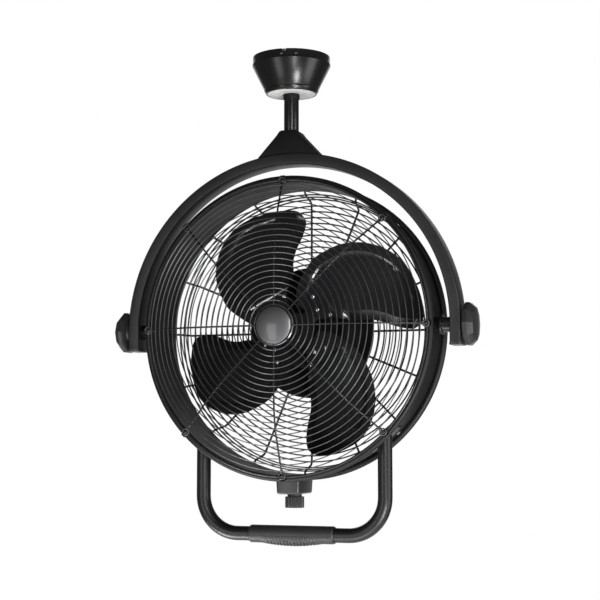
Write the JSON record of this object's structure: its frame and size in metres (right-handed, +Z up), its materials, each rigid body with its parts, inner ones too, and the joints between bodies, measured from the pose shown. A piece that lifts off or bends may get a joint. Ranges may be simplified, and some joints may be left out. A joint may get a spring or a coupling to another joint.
{
  "type": "orbital ceiling fan",
  "caption": "Caged drum fan that tilts in a half-ring yoke and circles under its ceiling downrod, with a carry handle and a speed knob below.",
  "frame": {"origin": "centre of the ceiling bracket's top face, on the ceiling", "axes": "+Z up along the downrod, +X to the right seen from the front along the tilt axis, the fan blows towards -Y"},
  "size_m": [0.6708, 0.227, 0.8688],
  "materials": {
    "black_steel": "satin black powder coat",
    "blade_steel": "semi-gloss black",
    "black_plastic": "fine grained black",
    "badge_plastic": "gloss black",
    "grey_plastic": "pale grey",
    "grip_rubber": "soft black",
    "bare_steel": "zinc plated",
    "winding": "varnished windings on a laminated core"
  },
  "bodies": {
    "ceiling": {"ceiling_bracket": "bare_steel", "canopy": "black_steel", "canopy_base_disc": "grey_plastic", "canopy_screw_1": "bare_steel", "canopy_screw_2": "bare_steel", "canopy_screw_3": "bare_steel", "canopy_screw_4": "bare_steel", "hanger_ball": "black_plastic", "hanger_pin": "bare_steel", "downrod": "black_steel", "rod_collar": "black_plastic", "orbit_spindle": "bare_steel", "orbit_sun_gear": "bare_steel", "spindle_nut": "bare_steel"},
    "orbit": {"orbit_bearing": "bare_steel", "hub_frame": "bare_steel", "hub_cover": "black_plastic", "orbit_motor": "bare_steel", "yoke": "black_steel", "yoke_cap_left": "black_plastic", "yoke_cap_right": "black_plastic"},
    "pinion": {"orbit_pinion": "bare_steel"},
    "head": {"pivot_stub_left": "black_steel", "pivot_stub_right": "black_steel", "drum": "black_steel", "front_grille": "black_steel", "rear_grille": "black_steel", "badge": "badge_plastic", "grille_clip_1": "black_plastic", "grille_clip_2": "black_plastic", "grille_clip_3": "black_plastic", "grille_clip_4": "black_plastic", "grille_clip_5": "black_plastic", "grille_clip_6": "black_plastic", "grille_clip_7": "black_plastic", "grille_clip_8": "black_plastic", "motor_plate": "black_steel", "motor_rear_shell": "black_steel", "motor_front_shell": "black_steel", "motor_stator": "winding", "motor_bearing_front": "bare_steel", "motor_bearing_rear": "bare_steel", "motor_rear_cover": "black_plastic", "control_box": "black_plastic", "speed_switch": "bare_steel", "run_capacitor": "black_plastic", "handle": "black_steel", "grip_upper": "grip_rubber", "grip_lower": "grip_rubber"},
    "rotor": {"motor_shaft": "bare_steel", "rotor_core": "bare_steel", "blade_spider": "bare_steel", "blade_1": "blade_steel", "blade_2": "blade_steel", "blade_3": "blade_steel", "blade_4": "blade_steel", "hub_nut": "bare_steel"},
    "left_tilt_knob": {"tilt_knob_left": "black_plastic"},
    "right_tilt_knob": {"tilt_knob_right": "black_plastic"},
    "speed_control": {"speed_knob": "black_plastic"}
  },
  "joints": [
    {"name": "orbit", "type": "hinge", "parent": "ceiling", "child": "orbit", "pos_m": [0, 0, -0.15], "axis": [0, 0, 1], "continuous": true},
    {"name": "pinion_spin", "type": "hinge", "parent": "orbit", "child": "pinion", "pos_m": [0.015, 0, -0.154], "axis": [0, 0, 1], "continuous": true},
    {"name": "tilt", "type": "hinge", "parent": "orbit", "child": "head", "pos_m": [0, 0, -0.488], "axis": [1, 0, 0], "range_deg": [-90, 90]},
    {"name": "blade_spin", "type": "hinge", "parent": "head", "child": "rotor", "pos_m": [0, 0.027, -0.488], "axis": [0, 1, 0], "continuous": true},
    {"name": "left_knob_turn", "type": "hinge", "parent": "head", "child": "left_tilt_knob", "pos_m": [-0.32, 0, -0.488], "axis": [-1, 0, 0], "range_deg": [0, 360]},
    {"name": "right_knob_turn", "type": "hinge", "parent": "head", "child": "right_tilt_knob", "pos_m": [0.32, 0, -0.488], "axis": [1, 0, 0], "range_deg": [0, 360]},
    {"name": "speed_turn", "type": "hinge", "parent": "head", "child": "speed_control", "pos_m": [0, 0.0175, -0.79], "axis": [0, 0, -1], "range_deg": [0, 270]}
  ],
  "couplings": [
    {"joint": "pinion_spin", "follows": "orbit", "ratio": 2}
  ]
}
